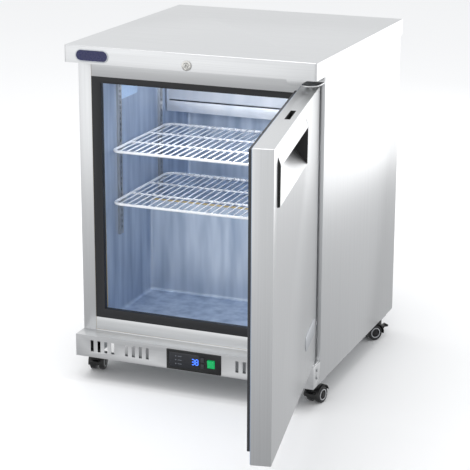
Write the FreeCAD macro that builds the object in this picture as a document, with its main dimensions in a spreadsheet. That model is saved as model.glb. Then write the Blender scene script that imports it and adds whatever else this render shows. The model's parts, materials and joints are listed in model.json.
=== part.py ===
"""Undercounter refrigerator: one-door stainless steel cabinet on four castors.

Frame: origin at the centre of the worktop's top face, +Z up, +Y to the rear,
+X to the right of a person who faces the door.  Millimetres.
The door's pieces are laid out closed and carried to their open angle by one
placement about the hinge axis.
"""
import FreeCAD, Part
import math
import os
import re
import Sketcher

doc = FreeCAD.newDocument("undercounter_refrigerator")
sizes = doc.addObject("Spreadsheet::Sheet", "sizes")

# ---------------------------------------------------------------- driving sizes
# "drop" is measured down from the worktop, "rise" up from the cabinet's lower edge.
SIZES = {
    # cabinet
    "width": 610, "depth": 656, "height": 820, "rim": 40, "sheet": 1, "corner_round": 5, "hem": 12,
    "reveal": 2, "front_set": 66, "rear_set": 10, "castor_height": 60, "wall": 55,
    "ceiling_drop": 90, "floor_rise": 78, "duct_rise": 25, "back_wall": 70, "step_rise": 322,
    "step_wall": 44, "bay_deep": 269, "rail_half": 21, "rail_sheet": 2,
    # front frame
    "stile": 33, "header_drop": 82, "breaker_deep": 14, "breaker_side": 24, "breaker_top": 15,
    "lip_rise": 110.5, "sill_rise": 88, "rail_rise": 57, "seam": 0.6,
    # door
    "door_angle": 101, "door_thick": 43, "door_side": 1, "door_drop": 61, "door_rise": 59,
    "seal_gap": 0.4, "pivot_side": 21, "pivot_deep": 18, "gasket_thick": 9.6, "gasket_wide": 28,
    "gasket_side": 21, "gasket_drop": 7, "gasket_rise": 20, "slot_long": 84, "slot_wide": 12,
    "slot_deep": 16, "dish_side": 62, "dish_deep": 6,
    # hinges
    "pin_radius": 4, "run_gap": 0.08, "bush_long": 22, "bush_wall": 2.5, "washer": 1.2,
    "hinge_gap": 5, "plate_round": 20, "tab_long": 36, "leaf": 3,
    # handle, measured from the door's free edge and top
    "pull_side": 48, "pull_long": 348, "pull_drop": 27, "pull_tall": 98, "pull_proud": 5.5,
    "pull_deep": 23.5, "pull_nose": 18, "pull_low": 64, "pull_sheet": 1.4, "pull_cap": 3,
    # grille and controller
    "grille_deep": 45.3, "grille_tall": 54.5, "vent_pitch": 18.2, "vent_wide": 8, "vent_rise": 15,
    "vent_tall": 28, "vent_side": 43, "vent_gap": 18, "panel_x": 5.6,
    "panel_wide": 138.5, "panel_tall": 49, "panel_rise": 25.8, "panel_rim": 6, "panel_proud": 2,
    "panel_deep": 26, "key_x": 28.3, "key_wide": 9, "key_tall": 12, "key_proud": 1,
    "rocker_x": 50, "rocker_size": 19, "rocker_tilt": 8, "play": 0.25,
    # lock and plates
    "lock_drop": 27, "lock_ring": 11.5, "lock_radius": 9, "plug_radius": 5.5, "cam_arm": 47,
    "cam_wide": 14, "cam_thick": 3, "plate_thick": 1.2, "name_side": 70.5, "badge_side": 92,
    "badge_rise": 95,
    # shelves
    "shelf_rise": 366, "shelf_step": 128, "shelf_front": 34, "shelf_rear": 14, "shelf_gap": 10,
    "rod_radius": 3.3, "wire_radius": 1.6, "wire_pitch": 18, "shelf_round": 22,
    "upright_drop": 110, "upright_rise": 275, "upright_wide": 18, "upright_deep": 6,
    "upright_front": 94, "upright_rear": 42, "upright_pitch": 13.3, "clip_long": 20,
    "clip_gap": 0.3,
    # evaporator
    "cover_deep": 138, "cover_tall": 146, "cover_slot": 115, "fan_radius": 52, "fan_side": 118,
    "coil_tall": 70, "coil_deep": 100,
    # machine bay
    "shell_radius": 66, "shell_tall": 165, "cond_wide": 228, "cond_tall": 168, "cond_deep": 55,
    "cond_rise": 24, "cond_fan": 79, "tube_radius": 4, "tube_bend": 12, "gland_side": 58,
    "gland_rise": 60, "gland_bore": 4.2, "gland_long": 18,
    # castors
    "castor_side": 21.5, "castor_front": 24, "castor_rear": 74, "wheel_radius": 20.5,
    "wheel_wide": 14, "wheel_split": 4.5, "trail": 11, "axle_radius": 3, "mount_plate": 42,
    "bearing_radius": 13, "hood_gap": 2, "hood_thick": 2.2,
    "turn_front_left": 8, "turn_front_right": -14, "turn_rear_left": 160, "turn_rear_right": 140,
}
for row, (alias, value) in enumerate(SIZES.items(), 1):
    sizes.set("A%d" % row, alias)
    sizes.set("B%d" % row, str(value))
    sizes.setAlias("B%d" % row, alias)
doc.recompute()

# Planes and centre lines worked out from the driving sizes and used by name below.
PLACES = {
    "side": "(width / 2 - reveal)",
    "front": "(front_set - depth / 2)",
    "rear": "(depth / 2 - rear_set)",
    "base": "(castor_height - height)",
    "inner": "(side - wall)",
    "mouth": "(front + breaker_deep)",
    "ceiling": "(-ceiling_drop)",
    "floor": "(base + floor_rise)",
    "lip": "(base + lip_rise)",
    "duct_top": "(base + duct_rise)",
    "back": "(rear - back_wall)",
    "bay_front": "(rear - bay_deep)",
    "bay_top": "(base + step_rise - step_wall)",
    "bay_mid": "((bay_front + rear) / 2)",
    "step_front": "(bay_front - step_wall)",
    "step_top": "(base + step_rise)",
    "rail_mid": "(side - sheet - rail_half - 0.2)",
    "rail_in": "(rail_mid - rail_half)",
    "frame_half": "(side - stile)",
    "mouth_half": "(frame_half - breaker_side)",
    "door_half": "(side - door_side)",
    "door_back": "(front - gasket_thick - seal_gap)",
    "door_face": "(door_back - door_thick)",
    "door_top": "(-door_drop)",
    "door_low": "(base + door_rise)",
    "pivot_x": "(door_half - pivot_side)",
    "pivot_y": "(door_face + pivot_deep)",
    "bush_radius": "(pin_radius + run_gap + bush_wall)",
    "hinge_top": "(door_top + hinge_gap)",
    "hinge_low": "(door_low - washer - 0.2)",
    "leg_x": "(pivot_x - plate_round)",
    "tab_x": "(leg_x - tab_long)",
    "pull_top": "(door_top - pull_drop)",
    "pull_left": "(-door_half + pull_side)",
    "pull_right": "(-door_half + pull_side + pull_long)",
    "grille_face": "(front - grille_deep)",
    "panel_z": "(base + panel_rise)",
    "rim_face": "(-depth / 2)",
    "lock_z": "(-lock_drop)",
    "cover_face": "(back - cover_deep)",
    "cover_low": "(ceiling - cover_tall)",
    "fan_x": "(inner - fan_side)",
    "fan_y": "(cover_face + cover_deep / 2)",
    "shelf_near": "(front + shelf_front)",
    "shelf_far": "(cover_face - shelf_rear)",
    "shelf_half": "(inner - shelf_gap)",
    "shell_x": "(-(rail_in - shell_radius - 20))",
    "cond_x": "(rail_in - 4 - cond_wide / 2)",
    "cond_low": "(base + cond_rise)",
    "cond_mid": "(cond_low + cond_tall / 2)",
    "cond_back": "(bay_front + 12 + cond_deep)",
    "gland_x": "(gland_side - side)",
    "gland_z": "(base + gland_rise)",
    "axle_z": "(wheel_radius - height)",
    "castor_top": "(base - 5.7)",
}
WORD = re.compile(r"[a-z_]+")


def formula(text):
    """Spell a short formula out for the expression engine."""
    while any(word in PLACES for word in WORD.findall(text)):
        text = WORD.sub(lambda m: PLACES.get(m.group(0), m.group(0)), text)
    return WORD.sub(lambda m: "sizes." + m.group(0) if m.group(0) in SIZES else m.group(0), text)


def number(text):
    """The present value of a formula, for shapes made with Part's own functions."""
    probe.setExpression("Placement.Base.x", formula(text))
    probe.recompute()
    return probe.Placement.Base.x


probe = doc.addObject("Part::Box", "probe")


def bind(thing, prop, text):
    thing.setExpression(prop, formula(text))


def at(thing, x="0", y="0", z="0"):
    for axis, text in zip("xyz", (x, y, z)):
        bind(thing, "Placement.Base." + axis, text)
    return thing


def turn(thing, axis, degrees, spin=0):
    """Turn a piece about an axis, after a spin about its own Z."""
    own = FreeCAD.Rotation(FreeCAD.Vector(0, 0, 1), spin)
    lean = FreeCAD.Rotation(FreeCAD.Vector(*axis), degrees)
    thing.Placement = FreeCAD.Placement(thing.Placement.Base, lean.multiply(own))
    return thing


# ---------------------------------------------------------------- basic pieces
def box(name, x, y, z):
    """A block from three pairs of limits."""
    block = doc.addObject("Part::Box", name)
    for prop, (low, high) in zip(("Length", "Width", "Height"), (x, y, z)):
        bind(block, prop, "(%s) - (%s)" % (high, low))
    return at(block, x[0], y[0], z[0])


def wide(half, low="0"):
    """Limits that lie symmetrically about a place."""
    return ("%s - (%s)" % (low, half), "%s + (%s)" % (low, half))


SEAM_TURN = 37      # keeps the seam line of a round bar away from what crosses it
AXES = {"x": ((0, 1, 0), 90), "y": ((1, 0, 0), -90), "z": ((0, 0, 1), 0)}


def rod(name, radius, x, y, z):
    """A round bar; the one coordinate given as a pair of limits is its length."""
    bar = doc.addObject("Part::Cylinder", name)
    spans = {"x": x, "y": y, "z": z}
    along = next(axis for axis, span in spans.items() if isinstance(span, tuple))
    low, high = spans[along]
    spans[along] = low
    turn(bar, *AXES[along], SEAM_TURN)
    bind(bar, "Radius", radius)
    bind(bar, "Height", "(%s) - (%s)" % (high, low))
    return at(bar, spans["x"], spans["y"], spans["z"])


def fuse(name, *pieces):
    joined = doc.addObject("Part::MultiFuse", name)
    joined.Shapes = list(pieces)
    joined.Refine = True
    return joined


def cut(name, base, *tools):
    tool = tools[0] if len(tools) == 1 else fuse(name + "_tools", *tools)
    result = doc.addObject("Part::Cut", name)
    result.Base = base
    result.Tool = tool
    result.Refine = True
    return result


def several(name, *pieces):
    """Separate identical or matching solids that share one node."""
    group = doc.addObject("Part::Compound", name)
    group.Links = list(pieces)
    return group


def sketch(body, name, plane, points, offset="0"):
    """A closed outline of straight runs, every corner held by two dimensions."""
    outline = body.newObject("Sketcher::SketchObject", name)
    origin = next(f for f in body.Origin.OriginFeatures if f.Role == plane + "_Plane")
    outline.AttachmentSupport = [(origin, "")]
    outline.MapMode = "FlatFace"
    bind(outline, "AttachmentOffset.Base.z", offset)
    corners = [FreeCAD.Vector(number(a), number(b), 0) for a, b in points]
    for i, corner in enumerate(corners):
        outline.addGeometry(Part.LineSegment(corner, corners[(i + 1) % len(corners)]), False)
    for i in range(len(corners)):
        outline.addConstraint(
            Sketcher.Constraint("Coincident", i, 2, (i + 1) % len(corners), 1))
    for i, (corner, texts) in enumerate(zip(corners, points)):
        for kind, value, text in zip(("DistanceX", "DistanceY"), corner[:2], texts):
            index = outline.addConstraint(Sketcher.Constraint(kind, -1, 1, i, 1, value))
            outline.setExpression("Constraints[%d]" % index, formula(text))
    return outline


def pad(name, plane, points, length, offset="0"):
    """A body: one outline padded along its plane's normal (XY: +Z, XZ: -Y, YZ: +X)."""
    body = doc.addObject("PartDesign::Body", name)
    outline = sketch(body, name + "_outline", plane, points, offset)
    feature = body.newObject("PartDesign::Pad", name + "_pad")
    feature.Profile = outline
    bind(feature, "Length", length)
    doc.recompute()
    return body


def revolve(name, points, axis="V_Axis"):
    """A body turned about Z (V_Axis) or X (H_Axis) from its half outline."""
    body = doc.addObject("PartDesign::Body", name)
    outline = sketch(body, name + "_outline", "XZ", points)
    feature = body.newObject("PartDesign::Revolution", name + "_turned")
    feature.Profile = outline
    feature.ReferenceAxis = (outline, [axis])
    feature.Angle = 360
    doc.recompute()
    return body


def soften(body, radius, wanted):
    """Round the edges of the body's last feature that the test picks out."""
    base = body.Tip
    edges = ["Edge%d" % i for i, edge in enumerate(base.Shape.Edges, 1) if wanted(edge)]
    feature = body.newObject("PartDesign::Fillet", body.Name + "_round%d" % len(body.Group))
    feature.Base = (base, edges)
    bind(feature, "Radius", radius)
    body.Tip = feature
    doc.recompute()
    return body


def runs_along(axis):
    """True for a straight edge along an axis."""
    def wanted(edge):
        if edge.Curve.TypeId != "Part::GeomLine":
            return False
        return abs(abs(edge.tangentAt(edge.FirstParameter)[axis]) - 1) < 1e-6
    return wanted


def rectangle(x, y):
    return [(x[0], y[0]), (x[1], y[0]), (x[1], y[1]), (x[0], y[1])]


def stadium(name, x, half, z, radius, y):
    """A plate with round ends, lying across Y."""
    middle = box(name + "_middle", wide("%s - (%s)" % (half, radius), x), y, wide(radius, z))
    ends = [rod(name + "_end%d" % i, radius, "%s %s (%s - (%s))" % (x, sign, half, radius), y, z)
            for i, sign in enumerate("-+")]
    return fuse(name, middle, *ends)


NODES = []


def node(thing, label=None):
    """Hand a finished piece over to be written under its own label."""
    thing.Label = label or thing.Name
    NODES.append(thing)
    return thing


def turn_about(thing, x, y, angle):
    """Carry a piece round an upright axis by a named angle."""
    cosine, sine = "cos(%s * 1deg)" % angle, "sin(%s * 1deg)" % angle
    bind(thing, "Placement.Rotation.Angle", angle)
    bind(thing, "Placement.Base.x", "(%s) - (%s * (%s) - %s * (%s))" % (x, cosine, x, sine, y))
    bind(thing, "Placement.Base.y", "(%s) - (%s * (%s) + %s * (%s))" % (y, sine, x, cosine, y))
    return thing


def swing(thing):
    """Carry a piece of the door from closed to its open angle about the hinge axis."""
    return turn_about(thing, "pivot_x", "pivot_y", "door_angle")


# ---------------------------------------------------------------- cabinet
def make_worktop():
    """Folded pan: flat top, rim turned down all round, hems along front and rear."""
    pan = pad("worktop_pan", "XY", rectangle(wide("width / 2"), wide("depth / 2")), "rim", "-rim")
    soften(pan, "corner_round", runs_along(2))
    inside = pad("worktop_inside", "XY",
                 rectangle(wide("width / 2 - sheet"), wide("depth / 2 - sheet")),
                 "rim - sheet", "-rim")
    soften(inside, "corner_round - sheet", runs_along(2))
    shell = cut("worktop_shell", pan, inside)
    front_hem = box("front_hem", wide("width / 2 - corner_round - sheet"),
                    ("rim_face + sheet / 2", "rim_face + hem"), ("-rim", "-rim + sheet"))
    hole = rod("lock_hole", "lock_radius + 0.2", "0",
               ("rim_face - 5", "rim_face + 5"), "lock_z")
    node(cut("worktop", fuse("worktop_folded", shell, front_hem), hole))


def make_side(name, sign):
    """Side panel folded round the front corner into the stile."""
    points = [("side", "front"), ("side", "rear"), ("side - sheet", "rear"),
              ("side - sheet", "front + sheet"), ("frame_half + seam / 2", "front + sheet"),
              ("frame_half + seam / 2", "front")]
    if sign < 0:
        points = [("-(%s)" % a, b) for a, b in reversed(points)]
    node(pad(name, "XY", points, "-sheet - base", "base"))


def make_rails():
    """Header, sill rail and lower panel between the stiles."""
    half = "frame_half - seam / 2"
    across = ("front", "front + sheet")
    header = box("header_rail", wide(half), across, ("-header_drop", "-sheet"))
    sill = box("sill_rail", wide(half), across, ("base + rail_rise + seam / 2", "base + sill_rise"))
    panel = box("lower_panel", wide(half), across, ("duct_top", "base + rail_rise - seam / 2"))
    node(several("front_rails", header, sill, panel))


def make_breaker():
    """Black moulded frame round the mouth of the cavity."""
    outer = box("breaker_outer", wide("frame_half"), ("front", "mouth"),
                ("base + sill_rise", "-header_drop"))
    opening = box("breaker_opening", wide("mouth_half"), ("front - 1", "mouth + 1"),
                  ("lip", "-header_drop - breaker_top"))
    node(cut("breaker_frame", outer, opening))
    return outer


def cavity(name, grow):
    """The stepped cavity, grown by a wall thickness."""
    upper = box(name + "_upper", wide("inner + %s" % grow), ("mouth", "back + %s" % grow),
                ("step_top - %s" % grow, "ceiling + %s" % grow))
    lower = box(name + "_lower", wide("inner + %s" % grow), ("mouth", "step_front + %s" % grow),
                ("floor - %s" % grow, "step_top + 1"))
    return fuse(name, upper, lower)


def make_liner():
    """Stainless tank: side walls, ceiling, floor, step over the machine bay."""
    shell = cut("liner_shell", cavity("liner_outer", "sheet"), cavity("liner_inner", "0"))
    dam = box("liner_dam", wide("inner"), ("mouth", "mouth + sheet"), ("floor", "lip"))
    node(fuse("liner", shell, dam))


def make_insulation(breaker_outer):
    """Foam between the outer panels and the liner, cut back over the machine bay."""
    block = box("foam_block", wide("side - sheet"), ("front + sheet", "rear - sheet"),
                ("duct_top", "-sheet"))
    bay = box("foam_bay", wide("side"), ("bay_front", "rear + 1"), ("duct_top - 1", "bay_top"))
    mouth_plug = box("foam_mouth", wide("inner + sheet"), ("front", "mouth + 1"),
                     ("floor - sheet", "ceiling + sheet"))
    node(cut("insulation", block, cavity("foam_cavity", "sheet"), bay, mouth_plug, breaker_outer))


def make_base():
    """Duct roof, two channel rails that take the castors, and the machine tray."""
    node(box("base_pan", wide("side - sheet"), ("front + sheet", "bay_front - sheet"),
             ("duct_top - sheet", "duct_top")))
    rails = []
    for name, sign in (("left", "-1"), ("right", "1")):
        outer = box("rail_%s" % name, wide("rail_half", "%s * rail_mid" % sign),
                    ("front + sheet", "rear - sheet"), ("base", "duct_top - sheet"))
        groove = box("rail_groove_%s" % name, wide("rail_half - rail_sheet", "%s * rail_mid" % sign),
                     ("front", "rear"), ("base + rail_sheet", "duct_top - sheet - rail_sheet"))
        rails.append(cut("rail_%s_tube" % name, outer, groove))
    node(several("base_rails", *rails))
    node(box("machine_tray", wide("rail_in"), ("bay_front", "rear - 2 * sheet"),
             ("base", "base + rail_sheet")))




def make_back():
    """Rear sheet over the foam and the removable louvred cover of the machine bay."""
    node(box("back_panel", wide("side - sheet"), ("rear - sheet", "rear"),
             ("bay_top + 1", "-sheet")))
    sheet = box("rear_sheet", wide("side - sheet - 0.5"), ("rear - sheet", "rear"),
                ("base", "bay_top"))
    vents = [box("rear_vent_%d_%d" % (column, row), wide("side / 6", "%d * side * 0.43" % column),
                 ("rear - 5", "rear + 5"),
                 ("bay_top - %d * 20 - 36" % row, "bay_top - %d * 20 - 30" % row))
             for column in (-1, 0, 1) for row in range(9)]
    gland_hole = rod("gland_hole", "gland_bore + 4.1", "gland_x", ("rear - 5", "rear + 5"),
                     "gland_z")
    node(cut("rear_grille", sheet, gland_hole, *vents))
    body = rod("gland_body", "gland_bore + 4", "gland_x",
               ("rear - sheet - 6", "rear + gland_long - sheet - 6"), "gland_z")
    flange = rod("gland_flange", "gland_bore + 8", "gland_x", ("rear", "rear + 4"), "gland_z")
    nut = rod("gland_nut", "gland_bore + 8", "gland_x", ("rear - sheet - 5", "rear - sheet"),
              "gland_z")
    bore = rod("gland_way", "gland_bore", "gland_x", ("rear - 20", "rear + 20"), "gland_z")
    node(cut("cable_gland", fuse("gland_solid", body, flange, nut), bore))


# ---------------------------------------------------------------- shelves
def make_uprights():
    """Four slotted channels on the side walls with eight shelf clips."""
    rows = (("front", "front + upright_front", "base + upright_rise"),
            ("rear", "cover_face - upright_rear", "step_top + leaf"))
    strips = []
    clips = []
    for place, y, low in rows:
        z = (low, "-upright_drop")
        tall = number("(%s) - (%s)" % (z[1], z[0]))
        slots = [box("slot_%s_%d" % (place, i), wide("inner - 0.5"), wide("2.2", y),
                     ("-upright_drop - 14 - %d * upright_pitch" % i,
                      "-upright_drop - 7 - %d * upright_pitch" % i))
                 for i in range(int((tall - 16) / number("upright_pitch")) + 1)]
        for sign, hand in (("-1", "left"), ("1", "right")):
            name = "upright_%s_%s" % (hand, place)
            outer = box(name, wide("upright_deep / 2", "%s * (inner - upright_deep / 2)" % sign),
                        wide("upright_wide / 2", y), z)
            groove = box(name + "_groove",
                         wide("upright_deep / 2", "%s * (inner - upright_deep / 2 + 1.2)" % sign),
                         wide("upright_wide / 2 - 1.2", y), (z[0] + " - 1", z[1] + " + 1"))
            strips.append(cut(name + "_channel", outer, groove, *slots))
            for rise in ("shelf_rise", "shelf_rise + shelf_step"):
                under = "base + %s - rod_radius - clip_gap" % rise
                clips.append(box("clip%d" % len(clips),
                                 wide("5", "%s * (inner - upright_deep - 5)" % sign),
                                 wide("clip_long / 2", y), (under + " - leaf", under)))
    node(several("shelf_uprights", *strips))
    node(several("shelf_clips", *clips))


def make_shelf(name, rise):
    """Coated wire shelf: round-cornered frame rod, two cross bars, wires front to back."""
    half, near, far = "shelf_half", "shelf_near", "shelf_far"
    z = "base + " + rise
    pieces = []
    for i, y in enumerate((near, far)):
        pieces.append(rod("%s_rail%d" % (name, i), "rod_radius", wide("%s - shelf_round" % half),
                          y, z))
    for i, sign in enumerate(("-1", "1")):
        pieces.append(rod("%s_side%d" % (name, i), "rod_radius", "%s * (%s)" % (sign, half),
                          (near + " + shelf_round", far + " - shelf_round"), z))
    for i, (sign, y, start) in enumerate((("-1", near + " + shelf_round", 180),
                                          ("1", near + " + shelf_round", 270),
                                          ("1", far + " - shelf_round", 0),
                                          ("-1", far + " - shelf_round", 90))):
        bend = doc.addObject("Part::Torus", "%s_bend%d" % (name, i))
        bind(bend, "Radius1", "shelf_round")
        bind(bend, "Radius2", "rod_radius")
        bend.Angle3 = 90
        turn(bend, (0, 0, 1), start)
        pieces.append(at(bend, "%s * (%s - shelf_round)" % (sign, half), y, z))
    for i in (1, 2):
        pieces.append(rod("%s_bar%d" % (name, i), "rod_radius - 1.1", wide(half),
                          "shelf_near + %d * (shelf_far - shelf_near) / 3" % i, z + " - 0.6"))
    count = int(number("(%s - 8) / wire_pitch" % half))
    for i in range(-count, count + 1):
        pieces.append(rod("%s_wire%d" % (name, i + count), "wire_radius", "%d * wire_pitch" % i,
                          (near, far), z + " + rod_radius - 0.7"))
    shelf = fuse(name, *pieces)
    shelf.Refine = False
    node(shelf)


# ---------------------------------------------------------------- evaporator
def make_evaporator():
    """Cover under the cavity's ceiling with its coil, fan motor and fan."""
    half = "inner - 2"
    face = box("cover_face_sheet", wide(half), ("cover_face", "cover_face + sheet"),
               ("cover_low", "ceiling - 1"))
    tray = box("cover_floor", wide(half), ("cover_face", "back - 1"),
               ("cover_low", "cover_low + sheet"))
    slot = box("cover_slot_cut", wide("inner - 10"), ("cover_face - 5", "cover_face + 5"),
               ("ceiling - cover_slot - 3.5", "ceiling - cover_slot"))
    mouth = rod("cover_fan_mouth", "fan_radius + 4", "fan_x", "fan_y",
                ("cover_low - 5", "cover_low + 5"))
    node(cut("evaporator_cover", fuse("cover_folded", face, tray), slot, mouth))
    start, end = "33 - inner", "fan_x - 95"
    coil_z = ("ceiling - 20 - coil_tall", "ceiling - 20")
    block = box("coil_block", (start, end), wide("coil_deep / 2", "fan_y"), coil_z)
    gaps = [box("coil_gap%d" % i, ("%s + %d" % (start, 6 + 12 * i), "%s + %d" % (start, 14 + 12 * i)),
                wide("coil_deep / 2 + 1", "fan_y"), (coil_z[0] + " - 5", coil_z[1] + " - 10"))
            for i in range(int(number("(%s - (%s) - 20) / 12" % (end, start))) + 1)]
    node(cut("evaporator_coil", block, *gaps))
    motor = rod("evaporator_motor_can", "20", "fan_x", "fan_y", ("cover_low + 28", "ceiling - 60"))
    shaft = rod("evaporator_shaft", "3", "fan_x", "fan_y", ("cover_low + 6", "cover_low + 29"))
    arm = box("evaporator_motor_arm", wide("72", "fan_x"), wide("8", "fan_y"),
              ("ceiling - 62", "ceiling - 60"))
    legs = [box("evaporator_motor_leg%d" % i, wide("1", "fan_x %s 71" % sign), wide("8", "fan_y"),
                ("cover_low + sheet", "ceiling - 61")) for i, sign in enumerate("-+")]
    node(fuse("evaporator_fan_motor", motor, shaft, arm, *legs))
    fan = make_fan("evaporator_fan", "fan_radius", "16", 8, 5, 12)
    node(at(fan, "fan_x", "fan_y", "cover_low + 8"))


def make_fan(name, radius, hub_radius, chord, blades, tall):
    """Axial fan about +Z with its hub's lower face on the origin."""
    bore = "3 + run_gap"
    hub = revolve(name + "_hub", [(bore, "0"), (hub_radius, "0"), (hub_radius, "%d" % (tall - 2)),
                                  (hub_radius + " - 2", "%d" % tall), (bore, "%d" % tall)])
    wings = []
    root = number(hub_radius) - 2
    for i in range(blades):
        blade = doc.addObject("Part::Box", "%s_blade%d" % (name, i))
        bind(blade, "Length", "%s - (%s) + 2" % (radius, hub_radius))
        blade.Width = 2 * chord
        blade.Height = 1.8
        tilt = FreeCAD.Rotation(FreeCAD.Vector(1, 0, 0), 22)
        turned = FreeCAD.Rotation(FreeCAD.Vector(0, 0, 1), 360 / blades * i).multiply(tilt)
        corner = turned.multVec(FreeCAD.Vector(root, -chord, -0.9))
        blade.Placement = FreeCAD.Placement(corner + FreeCAD.Vector(0, 0, tall / 2), turned)
        wings.append(blade)
    core = doc.addObject("Part::Cylinder", name + "_core")
    bind(core, "Radius", bore)
    core.Height = 3 * tall
    at(core, "0", "0", "-%d" % tall)
    return cut(name, fuse(name + "_wheel", hub, *wings), core)


# ---------------------------------------------------------------- machine bay
def make_compressor():
    """Welded shell on four rubber feet with its terminal box."""
    shell = revolve("compressor_shell", [
        ("0", "0"), ("shell_radius - 18", "0"), ("shell_radius", "20"),
        ("shell_radius", "shell_tall * 0.45"), ("shell_radius + 4", "shell_tall * 0.45"),
        ("shell_radius + 4", "shell_tall * 0.45 + 4"), ("shell_radius", "shell_tall * 0.45 + 4"),
        ("shell_radius", "shell_tall - 34"), ("shell_radius - 16", "shell_tall - 10"),
        ("shell_radius - 40", "shell_tall"), ("0", "shell_tall")])
    at(shell, "shell_x", "bay_mid", "base + 16")
    foot_plate = box("compressor_plate", wide("shell_radius + 14", "shell_x"),
                     wide("38", "bay_mid"), ("base + 14", "base + 17"))
    terminal = box("compressor_terminal", ("shell_x + shell_radius - 6", "shell_x + shell_radius + 20"),
                   wide("26", "bay_mid"), ("base + 60", "base + 125"))
    feet = [rod("compressor_foot%d%d" % (i, j), "9", "shell_x %s (shell_radius + 3)" % a,
                "bay_mid %s 28" % b, ("base + 2", "base + 14"))
            for i, a in enumerate("-+") for j, b in enumerate("-+")]
    node(fuse("compressor", shell, foot_plate, terminal, *feet))




def make_condenser():
    """Finned condenser with a fan and motor behind it."""
    block = box("condenser_block", wide("cond_wide / 2", "cond_x"),
                ("bay_front + 12", "cond_back"), ("cond_low", "cond_low + cond_tall"))
    gaps = [box("condenser_gap%d" % i, ("cond_x - cond_wide / 2 + %d" % (5 + 11 * i),
                                        "cond_x - cond_wide / 2 + %d" % (13 + 11 * i)),
                ("bay_front", "cond_back - 3"),
                ("cond_low + 6", "cond_low + cond_tall - 6"))
            for i in range(int(number("(cond_wide - 18) / 11")) + 1)]
    feet = [box("condenser_foot%d" % i, wide("8", "cond_x %s (cond_wide / 2 - 10)" % sign),
                ("bay_front + 14", "cond_back - 2"), ("base + 2", "cond_low"))
            for i, sign in enumerate("-+")]
    node(fuse("condenser_coil", cut("condenser_fins", block, *gaps), *feet))
    motor = rod("condenser_motor_can", "24", "cond_x", ("cond_back + 48", "cond_back + 100"), "cond_mid")
    shaft = rod("condenser_shaft", "3", "cond_x", ("cond_back + 14", "cond_back + 50"), "cond_mid")
    post = box("condenser_motor_post", wide("10", "cond_x"), ("cond_back + 60", "cond_back + 90"),
               ("base + 2", "cond_mid - 10"))
    node(fuse("condenser_fan_motor", motor, shaft, post))
    fan = make_fan("condenser_fan", "cond_fan", "24", 11, 6, 16)
    turn(fan, (1, 0, 0), -90)
    node(at(fan, "cond_x", "cond_back + 22", "cond_mid"))




def route(name, radius, points, bend):
    """A tube along straight runs joined by tangent arcs."""
    corners = [FreeCAD.Vector(*[number(c) for c in point]) for point in points]
    edges = []
    last = corners[0]
    for before, corner, after in zip(corners, corners[1:], corners[2:]):
        arrive = (corner - before).normalize()
        leave = (after - corner).normalize()
        half_turn = arrive.getAngle(leave) / 2
        reach = bend * math.tan(half_turn)
        start = corner - arrive * reach
        end = corner + leave * reach
        inward = (leave - arrive).normalize()
        middle = corner + inward * (bend / math.cos(half_turn) - bend)
        edges += [Part.LineSegment(last, start).toShape(), Part.Arc(start, middle, end).toShape()]
        last = end
    edges.append(Part.LineSegment(last, corners[-1]).toShape())
    spine = Part.Wire(edges)
    ring = Part.Wire([Part.Circle(corners[0], corners[1] - corners[0], radius).toShape()])
    tube = doc.addObject("Part::Feature", name)
    tube.Shape = spine.makePipeShell([ring], True, False)
    return tube


def make_pipes():
    """Discharge tube to the condenser and suction and liquid tubes up to the evaporator."""
    top = "base + 16 + shell_tall"
    radius = number("tube_radius")
    bend = number("tube_bend")
    discharge = route("discharge_tube", radius, [
        ("shell_x + 12", "bay_mid + 10", top), ("shell_x + 12", "bay_mid + 10", top + " + 30"),
        ("shell_x + 12", "bay_front + 38", top + " + 30"),
        ("cond_x - 90", "bay_front + 38", top + " + 30"),
        ("cond_x - 90", "bay_front + 38", "cond_low + cond_tall")], bend)
    suction = route("suction_tube", radius, [
        ("shell_x - 14", "bay_mid - 6", top), ("shell_x - 14", "bay_mid - 6", top + " + 46"),
        ("shell_x - 14", "rear - 30", top + " + 46"), ("shell_x - 14", "rear - 30", "bay_top")], bend)
    liquid = route("liquid_tube", radius * 0.6, [
        ("cond_x + 90", "bay_front + 38", "cond_low + cond_tall"),
        ("cond_x + 90", "bay_front + 38", "cond_low + cond_tall + 56"),
        ("cond_x + 90", "rear - 30", "cond_low + cond_tall + 56"),
        ("cond_x + 90", "rear - 30", "bay_top")], bend)
    node(several("refrigerant_tubes", discharge, suction, liquid))


# ---------------------------------------------------------------- front grille and controls
SCREW_Y = "grille_face + 24"
SCREW_Z = ("base + 21", "base + 40")


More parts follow.
